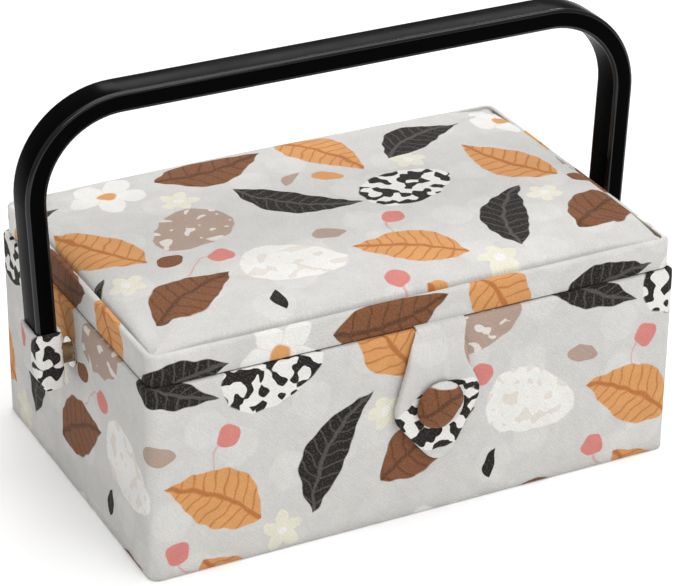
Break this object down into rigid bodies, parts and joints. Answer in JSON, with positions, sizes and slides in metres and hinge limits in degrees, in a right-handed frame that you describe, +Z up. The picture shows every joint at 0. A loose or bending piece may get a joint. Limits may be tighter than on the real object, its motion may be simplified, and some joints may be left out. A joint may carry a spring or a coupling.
{
  "type": "sewing box",
  "caption": "Fabric-covered rectangular sewing box with a padded hinged lid, strap tab with a covered button, bail handle and lift-out tray.",
  "frame": {"origin": "middle of the underside, on the face it rests on", "axes": "+X along the length, -Y to the front where the tab is, +Z up"},
  "size_m": [0.3016, 0.182, 0.1952],
  "materials": {
    "body_fabric": "printed cotton twill, pale grey ground",
    "lid_fabric": "printed cotton, pale grey ground",
    "lining_fabric": "plain cream lining cloth",
    "base_cloth": "plain dark non-woven cloth",
    "hinge_tape": "printed cotton tape",
    "padding": "polyester wadding",
    "board": "fibreboard",
    "card": "grey card",
    "handle_plastic": "moulded, black, satin gloss",
    "tray_plastic": "moulded, white",
    "pin_metal": "nickel-plated steel",
    "spacer_metal": "antiqued brass",
    "button_metal": "pressed aluminium"
  },
  "bodies": {
    "box": {"base_board": "board", "front_wall": "board", "back_wall": "board", "left_wall": "board", "right_wall": "board", "body_cover": "body_fabric", "base_cover": "base_cloth", "front_lining": "lining_fabric", "back_lining": "lining_fabric", "left_lining": "lining_fabric", "right_lining": "lining_fabric", "floor_pad": "lining_fabric", "left_tray_support": "lining_fabric", "right_tray_support": "lining_fabric", "snap_stud": "pin_metal", "snap_backing": "pin_metal", "hinge_cloth_lower": "hinge_tape"},
    "lid": {"lid_front_rail": "board", "lid_back_rail": "board", "lid_left_rail": "board", "lid_right_rail": "board", "lid_board": "board", "top_card": "card", "lid_padding": "padding", "lid_top_cover": "lid_fabric", "lid_band_cover": "lid_fabric", "lid_lining": "lining_fabric", "pin_cushion": "lining_fabric", "lid_pocket": "lining_fabric", "hinge_cloth_upper": "hinge_tape", "tab_tongue": "body_fabric"},
    "tab": {"tab_core": "card", "tab_cover": "body_fabric", "snap_socket": "pin_metal", "button_back": "button_metal", "button_shell": "button_metal", "button_cover": "body_fabric"},
    "tray": {"tray": "tray_plastic"},
    "pivot_studs": {"left_pin": "pin_metal", "right_pin": "pin_metal", "left_spacer": "spacer_metal", "right_spacer": "spacer_metal", "left_washer": "pin_metal", "right_washer": "pin_metal", "left_back_plate": "pin_metal", "right_back_plate": "pin_metal"},
    "handle": {"handle": "handle_plastic", "left_sleeve": "body_fabric", "right_sleeve": "body_fabric"}
  },
  "joints": [
    {"name": "lid_hinge", "type": "hinge", "parent": "box", "child": "lid", "pos_m": [0, 0.0853, 0.09415], "axis": [-1, 0, 0], "range_deg": [0, 100]},
    {"name": "tab_hinge", "type": "hinge", "parent": "lid", "child": "tab", "pos_m": [0.006, -0.0861, 0.09415], "axis": [-1, 0, 0], "range_deg": [0, 100]},
    {"name": "handle_fold_forward", "type": "hinge", "parent": "box", "child": "pivot_studs", "pos_m": [0, 0, 0.072], "axis": [-1, 0, 0], "range_deg": [-95, 0]},
    {"name": "handle_fold_back", "type": "hinge", "parent": "pivot_studs", "child": "handle", "pos_m": [0, 0, 0.072], "axis": [-1, 0, 0], "range_deg": [0, 95]},
    {"name": "tray_lift", "type": "slide", "parent": "box", "child": "tray", "axis": [0, 0, 1], "range_m": [0, 0.012]}
  ],
  "couplings": [
    {"joint": "handle_fold_back", "follows": "lid_hinge", "ratio": 0.95}
  ]
}
